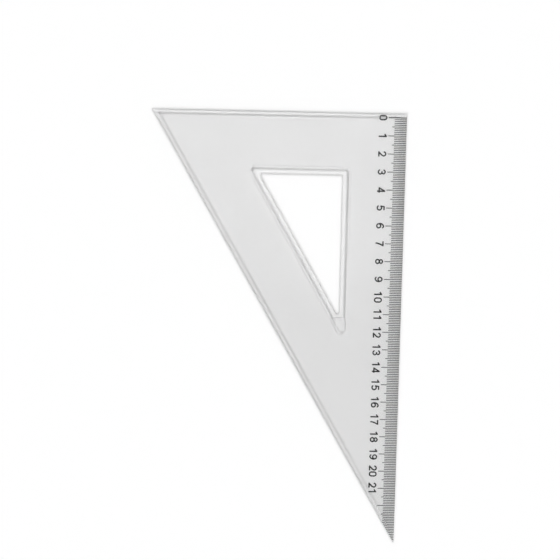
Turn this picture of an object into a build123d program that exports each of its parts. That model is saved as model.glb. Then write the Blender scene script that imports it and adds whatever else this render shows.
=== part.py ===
from build123d import *
import os
from math import cos, radians, sin, tan

os.makedirs("parts", exist_ok=True)

# A clear moulded drafting triangle with corners of 30, 60 and 90 degrees. It lies flat on Z = 0, with its
# graduated long leg towards +X, its short leg towards +Y and its tip towards -Y. The scale is stamped into
# the underside and read through the plate. Lengths are in millimetres and angles in degrees.

# The plate's section and corners
tip_angle = 30.0
plate_thickness = 2.0
edge_thickness = 0.9
outer_corner_radius = 0.2
outer_edge_rounding = 0.4

# The thin ledge along the short leg and the hypotenuse, and the bevel along the graduated edge
ledge_width = 1.7
ledge_wall_run = 0.3
bevel_width = 4.15
deck_edge_rounding = 0.2

# The finger cutout: the border around it, the slope down from the deck and the thin lip at the hole
border_width = 29.8
slope_run = 2.5
slope_foot_radius = 0.8
lip_width = 2.4
hole_corner_radius = 0.9
hole_rounding = 0.4
# The web that fills the cutout's sharpest corner beyond the lip, the ridge along its front, and the nub that
# the moulding gate left on it
tip_lip_width = 1.8
web_thickness = 1.6
web_ridge_width = 0.8
gate_rise = 2.8
gate_radius = 0.85
gate_height = 0.3
# The slope's section, eased at its top and its foot, in shares of its run and of its drop
slope_section_shares = [(0.0, 0.0), (0.1, 0.03), (0.2, 0.12), (0.8, 0.88), (0.9, 0.97), (1.0, 1.0)]

# The stamped scale: the reach of a tick is counted from the graduated edge
ink_depth = 0.1
division_length = 1.0
tick_width = 0.36
tick_edge_gap = 0.2
zero_ledge_gap = 0.4
tick_hypotenuse_gap = 0.3
millimetre_reach = 6.7
half_centimetre_reach = 7.9
centimetre_reach = 10.0
ticks_per_half_centimetre = 5
ticks_per_centimetre = 10

# The numerals, drawn with strokes of one width
last_numeral = 21
digit_height = 4.5
digit_width = 3.0
digit_advance = 3.5
digit_stroke = 0.72
numeral_tick_gap = 0.8
numeral_hypotenuse_gap = 1.05

# Each digit is a list of strokes, and each stroke a chain of lines (two points) and arcs (three points),
# in shares of the digit's width and height from its lower left corner
digit_stroke_shares = {
    "0": [
        [
            [(0.12, 0.69), (0.50, 0.92), (0.88, 0.69)],
            [(0.88, 0.69), (0.88, 0.31)],
            [(0.88, 0.31), (0.50, 0.08), (0.12, 0.31)],
            [(0.12, 0.31), (0.12, 0.69)],
        ]
    ],
    "1": [
        [[(0.60, 0.0), (0.60, 1.0)]],
        [[(0.16, 0.73), (0.60, 0.92)]],
    ],
    "2": [
        [
            [(0.13, 0.67), (0.50, 0.92), (0.87, 0.69)],
            [(0.87, 0.69), (0.76, 0.50), (0.48, 0.30)],
            [(0.48, 0.30), (0.20, 0.08)],
        ],
        [[(0.04, 0.08), (0.98, 0.08)]],
    ],
    "3": [
        [
            [(0.14, 0.71), (0.48, 0.92), (0.83, 0.73)],
            [(0.83, 0.73), (0.72, 0.58), (0.40, 0.53)],
        ],
        [
            [(0.40, 0.53), (0.76, 0.47), (0.88, 0.31)],
            [(0.88, 0.31), (0.50, 0.08), (0.12, 0.28)],
        ],
    ],
    "4": [
        [[(0.73, 0.0), (0.73, 1.0)]],
        [[(0.69, 0.92), (0.12, 0.26)]],
        [[(0.0, 0.26), (1.0, 0.26)]],
    ],
    "5": [
        [[(0.20, 0.92), (0.91, 0.92)]],
        [[(0.27, 0.95), (0.15, 0.46)]],
        [[(0.16, 0.51), (0.88, 0.34), (0.11, 0.24)]],
    ],
    "6": [
        [
            [(0.12, 0.325), (0.50, 0.57), (0.88, 0.325)],
            [(0.88, 0.325), (0.50, 0.08), (0.12, 0.325)],
        ],
        [
            [(0.12, 0.33), (0.21, 0.76), (0.55, 0.92)],
            [(0.55, 0.92), (0.76, 0.87), (0.87, 0.75)],
        ],
    ],
    "7": [
        [[(0.04, 0.92), (0.96, 0.92)]],
        [[(0.86, 0.91), (0.54, 0.50), (0.37, 0.0)]],
    ],
    "8": [
        [
            [(0.16, 0.73), (0.50, 0.92), (0.84, 0.73)],
            [(0.84, 0.73), (0.50, 0.54), (0.16, 0.73)],
        ],
        [
            [(0.12, 0.31), (0.50, 0.54), (0.88, 0.31)],
            [(0.88, 0.31), (0.50, 0.08), (0.12, 0.31)],
        ],
    ],
}
# A nine is a six turned half a turn
digit_stroke_shares["9"] = [
    [[(1 - x, 1 - y) for x, y in piece] for piece in stroke] for stroke in digit_stroke_shares["6"]
]

# The zero is just inside the short leg's ledge
deck_inset = ledge_width + ledge_wall_run
zero_place = deck_inset + zero_ledge_gap
centimetre = ticks_per_centimetre * division_length
numeral_places = [zero_place + number * centimetre for number in range(last_numeral + 1)]
half_widths = [len(str(number)) * digit_advance / 2 for number in range(last_numeral + 1)]
base_line = centimetre_reach + numeral_tick_gap + digit_height

# The long leg is as long as the scale needs, with its last numeral clear of the hypotenuse
tip = radians(tip_angle)
numeral_end = numeral_places[-1] + half_widths[-1]
long_leg = numeral_end + (numeral_hypotenuse_gap + base_line * cos(tip)) / sin(tip)

# The outline's rounded corners reach a little less far than its sharp ones, and the origin is the middle of
# what is left. edge_x is the graduated edge and edge_y the short leg's edge.
far_corner_trim = outer_corner_radius / tan((radians(90) - tip) / 2) - outer_corner_radius
tip_trim = outer_corner_radius / tan(tip / 2) - outer_corner_radius
edge_x = (long_leg * tan(tip) - far_corner_trim) / 2
edge_y = (long_leg - tip_trim) / 2


def corners(short_inset, scale_inset, hypotenuse_inset):
    """The right angle, the far corner and the tip of the outline, moved in from its three sides."""
    reach = long_leg * sin(tip) - hypotenuse_inset
    far_x = edge_x - (reach - short_inset * sin(tip)) / cos(tip)
    tip_y = edge_y - (reach - scale_inset * cos(tip)) / sin(tip)
    return [
        (edge_x - scale_inset, edge_y - short_inset),
        (far_x, edge_y - short_inset),
        (edge_x - scale_inset, tip_y),
    ]


def rounded_triangle(inset, radius):
    """Adds the outline, moved in alike from all sides and with round corners, to the current sketch."""
    triangle = Polygon(*corners(inset, inset, inset), align=None)
    fillet(triangle.vertices(), radius)


def round_tip(inset, radius):
    """Where the tip of that moved-in outline with round corners ends."""
    return corners(inset, inset, inset)[-1][-1] + radius / tan(tip / 2) - radius


def room(below):
    """How far a tick can reach from the graduated edge, at a distance below the short leg's edge."""
    return (long_leg * sin(tip) - tick_hypotenuse_gap - below * sin(tip)) / cos(tip)


def draw_digit(digit, left):
    """Adds a digit to the current sketch, with its lower left corner at left on the base line."""
    for stroke in digit_stroke_shares[digit]:
        with BuildLine() as path:
            for piece in stroke:
                points = [(left + x * digit_width, y * digit_height) for x, y in piece]
                if len(points) == 2:
                    Line(*points)
                else:
                    ThreePointArc(*points)
        trace(path.line, line_width=digit_stroke)


def draw_ticks(places, reach):
    """Adds ticks of that reach to the current sketch, shortened where the hypotenuse cuts in."""
    starts_by_length = {}
    for below in places:
        length = min(reach, room(below)) - tick_edge_gap
        starts_by_length.setdefault(length, []).append((edge_x - tick_edge_gap, edge_y - below))
    for length, starts in starts_by_length.items():
        with Locations(*starts):
            Rectangle(length, tick_width, align=(Align.MAX, Align.CENTER))


# The foot of the cutout's slope, its hole, the web's front, and the gate's nub, midway across the web
foot_inset = border_width + slope_run
hole_inset = foot_inset + lip_width
web_front = round_tip(hole_inset, hole_corner_radius) - tip_lip_width
gate_y = round_tip(foot_inset, slope_foot_radius) + gate_rise
web_corner_x, web_corner_y = corners(foot_inset, foot_inset, foot_inset)[-1]
gate_x = web_corner_x - (gate_y - web_corner_y) * tan(tip) / 2

# Scale divisions run from the zero down to the tip, as far as a tick is longer than it is wide
divisions = [zero_place]
while room(divisions[-1] + division_length) > tick_edge_gap + tick_width:
    divisions.append(divisions[-1] + division_length)
centimetres = divisions[::ticks_per_centimetre]
half_centimetres = divisions[ticks_per_half_centimetre::ticks_per_centimetre]
millimetres = [below for index, below in enumerate(divisions) if index % ticks_per_half_centimetre]

marks = {}
for name, places, reach in [
    ("millimetre_ticks", millimetres, millimetre_reach),
    ("half_centimetre_ticks", half_centimetres, half_centimetre_reach),
    ("centimetre_ticks", centimetres, centimetre_reach),
]:
    with BuildSketch() as ticks:
        draw_ticks(places, reach)
    marks[name] = ticks.sketch

# Numerals stand beyond the centimetre ticks with their tops towards the graduated edge
digit_margin = (digit_advance - digit_width) / 2
for number, below in enumerate(numeral_places):
    with BuildSketch(Plane((edge_x - base_line, edge_y - below, 0), x_dir=(0, -1, 0))) as numeral:
        for place, digit in enumerate(str(number)):
            draw_digit(digit, place * digit_advance + digit_margin - half_widths[number])
    marks[f"numeral_{number:02d}"] = numeral.sketch

# The ink of each mark, flush with the underside
inks = []
for name, sketch in marks.items():
    with BuildPart() as ink:
        extrude(sketch, amount=ink_depth)
    ink.part.label = name
    export_step(ink.part, f"parts/{name}.step")
    inks.append(ink.part)

# The plate: a thin base to the full outline, a raised deck with sloping sides, the cutout with its web, and
# pockets for the ink
with BuildPart() as plate:
    with BuildSketch():
        outline = Polygon(*corners(0, 0, 0), align=None)
        fillet(outline.vertices(), outer_corner_radius)
    extrude(amount=edge_thickness)
    fillet(plate.edges().group_by(Axis.Z)[-1], outer_edge_rounding)

    with BuildSketch(Plane.XY.offset(edge_thickness)):
        Polygon(*corners(ledge_width, outer_edge_rounding, ledge_width), align=None)
    with BuildSketch(Plane.XY.offset(plate_thickness)):
        Polygon(*corners(deck_inset, bevel_width, deck_inset), align=None)
    loft(ruled=True)
    fillet(plate.faces().sort_by(Axis.Z)[-1].edges(), deck_edge_rounding)

    for run_share, drop_share in slope_section_shares:
        height = plate_thickness - drop_share * (plate_thickness - edge_thickness)
        left_run = (1 - run_share) * slope_run
        with BuildSketch(Plane.XY.offset(height)):
            rounded_triangle(foot_inset - left_run, slope_foot_radius + left_run)
    loft(ruled=True, mode=Mode.SUBTRACT)

    with BuildSketch():
        rounded_triangle(hole_inset, hole_corner_radius)
    extrude(amount=edge_thickness, mode=Mode.SUBTRACT)
    fillet(plate.edges(Select.LAST).group_by(Axis.Z)[-1], hole_rounding)

    with BuildSketch():
        rounded_triangle(border_width, slope_foot_radius + slope_run)
        with Locations((0, web_front)):
            Rectangle(long_leg, long_leg, align=(Align.CENTER, Align.MIN), mode=Mode.SUBTRACT)
    extrude(amount=web_thickness)
    with BuildSketch():
        rounded_triangle(foot_inset, slope_foot_radius)
        with Locations((0, web_front)):
            Rectangle(long_leg, web_ridge_width, align=(Align.CENTER, Align.MAX), mode=Mode.INTERSECT)
    extrude(amount=plate_thickness)
    with Locations((gate_x, gate_y, web_thickness + gate_height - gate_radius)):
        Sphere(gate_radius)

    add(inks, mode=Mode.SUBTRACT)
plate.part.label = "plate"
export_step(plate.part, "parts/plate.step")
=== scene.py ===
from math import cos, radians, sin

import bpy
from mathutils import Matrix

# A clear drafting triangle lying on a white table, seen from above its short leg

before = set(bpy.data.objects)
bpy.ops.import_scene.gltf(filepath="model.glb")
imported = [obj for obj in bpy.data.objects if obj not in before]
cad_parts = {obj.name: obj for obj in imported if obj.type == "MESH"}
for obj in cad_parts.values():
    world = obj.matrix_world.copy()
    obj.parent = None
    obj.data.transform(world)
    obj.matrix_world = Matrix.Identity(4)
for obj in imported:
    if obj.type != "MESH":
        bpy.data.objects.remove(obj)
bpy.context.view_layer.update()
scene = bpy.context.scene

# Camera, fitted to the photograph's scale and edges, with lengths in metres unless the name says otherwise
PHOTO_PIXELS = 560
CAMERA_PLACE = (0.003176, 0.115275, 0.763655)
CAMERA_TURN_DEG = (-6.54866, 0.19072, 1.23432)
CAMERA_LENS_MM = 88.02
CAMERA_SENSOR_MM = 36.0
CAMERA_SHIFT_PIXELS = (-0.5, 0.5)
CAMERA_NEAR = 0.01
CAMERA_FAR = 20.0

# Noise: the stretch of its values that a tint runs over, and its levels of detail
TINT_START = 0.3
TINT_END = 0.7
FINE_DETAIL = 3.0
PLAIN_DETAIL = 1.0

# Clear plastic, with noise scales per metre
PLASTIC_IOR = 1.52
PLASTIC_TINTS = [(0.966, 0.966, 0.966, 1.0), (0.981, 0.981, 0.981, 1.0)]
PLASTIC_CLOUD_SCALE = 18.0
PLASTIC_LEAST_ROUGHNESS = 0.02
PLASTIC_MOST_ROUGHNESS = 0.07
PLASTIC_HAZE_SCALE = 160.0
PLASTIC_WAVE_SCALE = 60.0
PLASTIC_WAVE_STRENGTH = 0.05
PLASTIC_WAVE_HEIGHT = 0.0004
PLASTIC_BODY_COLOUR = (0.50, 0.50, 0.50, 1.0)
PLASTIC_BODY_DENSITY = 116.0

# Black ink
INK_TINTS = [(0.012, 0.012, 0.013, 1.0), (0.030, 0.030, 0.032, 1.0)]
INK_GRAIN_SCALE = 900.0
INK_ROUGHNESS = 0.55

# White table
TABLE_SIZE = 6.0
TABLE_DROP = 0.0001
TABLE_COLOUR = (0.93, 0.93, 0.93, 1.0)
TABLE_GLOW = 0.07

# Room: an even fill, and softboxes as azimuth, angle from the zenith, full radius and outer radius, all in
# degrees, and radiance
ROOM_COLOUR = (1.0, 1.0, 1.0, 1.0)
ROOM_FILL = 0.304
SOFTBOXES = [
    (60.0, 42.0, 12.0, 30.0, 3.448),
    (230.0, 47.0, 12.0, 30.0, 2.839),
    (90.0, 4.0, 3.0, 14.0, 0.811),
]

# Heights above the horizon, in degrees, between which the white that the plate mirrors fades out
MIRROR_LOW = 20.0
MIRROR_HIGH = 60.0

# A light path's count of bounces of one kind is none when it is below this
FIRST_BOUNCE = 0.5


def empty_tree(owner):
    """The node maker and the linker of a material's or a world's node tree, emptied."""
    owner.use_nodes = True
    tree = owner.node_tree
    tree.nodes.clear()
    return tree.nodes.new, tree.links.new


def calculate(new, link, operation, *values):
    """The result of a math node on numbers and sockets."""
    node = new("ShaderNodeMath")
    node.operation = operation
    for socket, value in zip(node.inputs, values):
        if isinstance(value, (int, float)):
            socket.default_value = value
        else:
            link(value, socket)
    return node.outputs["Value"]


def fade(new, link, value, start, end, most=1.0):
    """A smooth rise from nothing at one value to the most at another."""
    node = new("ShaderNodeMapRange")
    node.interpolation_type = "SMOOTHSTEP"
    node.inputs["From Min"].default_value = start
    node.inputs["From Max"].default_value = end
    node.inputs["To Max"].default_value = most
    link(value, node.inputs["Value"])
    return node.outputs["Result"]


def noise(new, link, scale, detail=FINE_DETAIL):
    """Noise through the object's own space."""
    place = new("ShaderNodeTexCoord")
    node = new("ShaderNodeTexNoise")
    node.inputs["Scale"].default_value = scale
    node.inputs["Detail"].default_value = detail
    link(place.outputs["Object"], node.inputs["Vector"])
    return node.outputs["Fac"]


def uneven_tint(new, link, scale, tints):
    """A colour that noise takes from one tint to the other."""
    node = new("ShaderNodeValToRGB")
    for element, position, tint in zip(node.color_ramp.elements, (TINT_START, TINT_END), tints):
        element.position = position
        element.color = tint
    link(noise(new, link, scale), node.inputs["Fac"])
    return node.outputs["Color"]


def clear_plastic():
    """Clear polystyrene, faintly grey, with a little cloudiness and a moulded surface's waviness."""
    material = bpy.data.materials.new("clear_plastic")
    new, link = empty_tree(material)
    surface = new("ShaderNodeBsdfPrincipled")
    surface.inputs["IOR"].default_value = PLASTIC_IOR
    surface.inputs["Transmission Weight"].default_value = 1.0
    link(uneven_tint(new, link, PLASTIC_CLOUD_SCALE, PLASTIC_TINTS), surface.inputs["Base Color"])
    rough = new("ShaderNodeMapRange")
    rough.inputs["To Min"].default_value = PLASTIC_LEAST_ROUGHNESS
    rough.inputs["To Max"].default_value = PLASTIC_MOST_ROUGHNESS
    link(noise(new, link, PLASTIC_HAZE_SCALE), rough.inputs["Value"])
    link(rough.outputs["Result"], surface.inputs["Roughness"])
    wave = new("ShaderNodeBump")
    wave.inputs["Strength"].default_value = PLASTIC_WAVE_STRENGTH
    wave.inputs["Distance"].default_value = PLASTIC_WAVE_HEIGHT
    link(noise(new, link, PLASTIC_WAVE_SCALE, PLAIN_DETAIL), wave.inputs["Height"])
    link(wave.outputs["Normal"], surface.inputs["Normal"])
    body = new("ShaderNodeVolumeAbsorption")
    body.inputs["Color"].default_value = PLASTIC_BODY_COLOUR
    body.inputs["Density"].default_value = PLASTIC_BODY_DENSITY
    output = new("ShaderNodeOutputMaterial")
    link(surface.outputs["BSDF"], output.inputs["Surface"])
    link(body.outputs["Volume"], output.inputs["Volume"])
    return material


def black_ink():
    """Hot-stamped black, a little uneven."""
    material = bpy.data.materials.new("black_ink")
    new, link = empty_tree(material)
    surface = new("ShaderNodeBsdfPrincipled")
    surface.inputs["Roughness"].default_value = INK_ROUGHNESS
    link(uneven_tint(new, link, INK_GRAIN_SCALE, INK_TINTS), surface.inputs["Base Color"])
    link(surface.outputs["BSDF"], new("ShaderNodeOutputMaterial").inputs["Surface"])
    return material


def white_table():
    """A matt white table top that is pure white where nothing shades it."""
    material = bpy.data.materials.new("white_table")
    new, link = empty_tree(material)
    surface = new("ShaderNodeBsdfDiffuse")
    surface.inputs["Color"].default_value = TABLE_COLOUR
    path = new("ShaderNodeLightPath")
    seen = calculate(new, link, "MAXIMUM", path.outputs["Is Camera Ray"], path.outputs["Is Glossy Ray"])
    seen = calculate(new, link, "MAXIMUM", seen, path.outputs["Is Transmission Ray"])
    glow = new("ShaderNodeEmission")
    link(calculate(new, link, "MULTIPLY", seen, TABLE_GLOW), glow.inputs["Strength"])
    both = new("ShaderNodeAddShader")
    link(surface.outputs["BSDF"], both.inputs[0])
    link(glow.outputs["Emission"], both.inputs[1])
    link(both.outputs["Shader"], new("ShaderNodeOutputMaterial").inputs["Surface"])
    return material


def softbox_light(new, link, direction, azimuth, from_zenith, full_radius, outer_radius, radiance):
    """Light from a round patch of the room, full inside one radius and gone outside the other."""
    turn = radians(azimuth)
    lean = radians(from_zenith)
    facing = new("ShaderNodeVectorMath")
    facing.operation = "DOT_PRODUCT"
    link(direction, facing.inputs[0])
    facing.inputs[1].default_value = (sin(lean) * cos(turn), sin(lean) * sin(turn), cos(lean))
    outside = cos(radians(outer_radius))
    inside = cos(radians(full_radius))
    return fade(new, link, facing.outputs["Value"], outside, inside, radiance)


def seen_white(new, link, direction):
    """How white the room is: fully where the camera looks at it, straight through the plate too, and
    low down where the plate mirrors it."""
    path = new("ShaderNodeLightPath")
    undiffused = calculate(new, link, "LESS_THAN", path.outputs["Diffuse Depth"], FIRST_BOUNCE)
    unmirrored = calculate(new, link, "LESS_THAN", path.outputs["Glossy Depth"], FIRST_BOUNCE)
    untransmitted = calculate(new, link, "LESS_THAN", path.outputs["Transmission Depth"], FIRST_BOUNCE)
    through = calculate(new, link, "MULTIPLY", path.outputs["Is Transmission Ray"], undiffused)
    through = calculate(new, link, "MULTIPLY", through, unmirrored)
    mirrored = calculate(new, link, "MULTIPLY", path.outputs["Is Glossy Ray"], undiffused)
    mirrored = calculate(new, link, "MULTIPLY", mirrored, untransmitted)
    split = new("ShaderNodeSeparateXYZ")
    link(direction, split.inputs["Vector"])
    low = fade(new, link, split.outputs["Z"], sin(radians(MIRROR_HIGH)), sin(radians(MIRROR_LOW)))
    white = calculate(new, link, "MAXIMUM", path.outputs["Is Camera Ray"], through)
    return calculate(new, link, "MAXIMUM", white, calculate(new, link, "MULTIPLY", mirrored, low))


def studio_room():
    """A world of soft light from above that looks white."""
    world = bpy.data.worlds.new("room")
    new, link = empty_tree(world)
    direction = new("ShaderNodeTexCoord").outputs["Generated"]
    light = ROOM_FILL
    for softbox in SOFTBOXES:
        light = calculate(new, link, "ADD", light, softbox_light(new, link, direction, *softbox))
    white = seen_white(new, link, direction)
    light = calculate(new, link, "MULTIPLY", light, calculate(new, link, "SUBTRACT", 1.0, white))
    light = calculate(new, link, "ADD", light, white)
    room = new("ShaderNodeBackground")
    room.inputs["Color"].default_value = ROOM_COLOUR
    link(light, room.inputs["Strength"])
    link(room.outputs["Background"], new("ShaderNodeOutputWorld").inputs["Surface"])
    return world


def photo_camera():
    """A camera where the photographer's was."""
    lens = bpy.data.cameras.new("camera")
    lens.lens = CAMERA_LENS_MM
    lens.sensor_width = CAMERA_SENSOR_MM
    lens.shift_x, lens.shift_y = [pixels / PHOTO_PIXELS for pixels in CAMERA_SHIFT_PIXELS]
    lens.clip_start = CAMERA_NEAR
    lens.clip_end = CAMERA_FAR
    camera = bpy.data.objects.new("camera", lens)
    camera.location = CAMERA_PLACE
    camera.rotation_euler = [radians(angle) for angle in CAMERA_TURN_DEG]
    scene.collection.objects.link(camera)
    return camera


def paint(piece, material):
    """Give a piece one material."""
    piece.data.materials.clear()
    piece.data.materials.append(material)


plastic = clear_plastic()
ink = black_ink()
for name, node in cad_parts.items():
    paint(node, plastic if name == "plate" else ink)

bpy.ops.mesh.primitive_plane_add(size=TABLE_SIZE, location=(0, 0, -TABLE_DROP))
table = bpy.context.object
table.name = "table"
paint(table, white_table())

scene.world = studio_room()
scene.camera = photo_camera()
scene.view_settings.view_transform = "Standard"
# Filter Glossy would blur the clear plate for light that has bounced off the table
scene.cycles.blur_glossy = 0.0
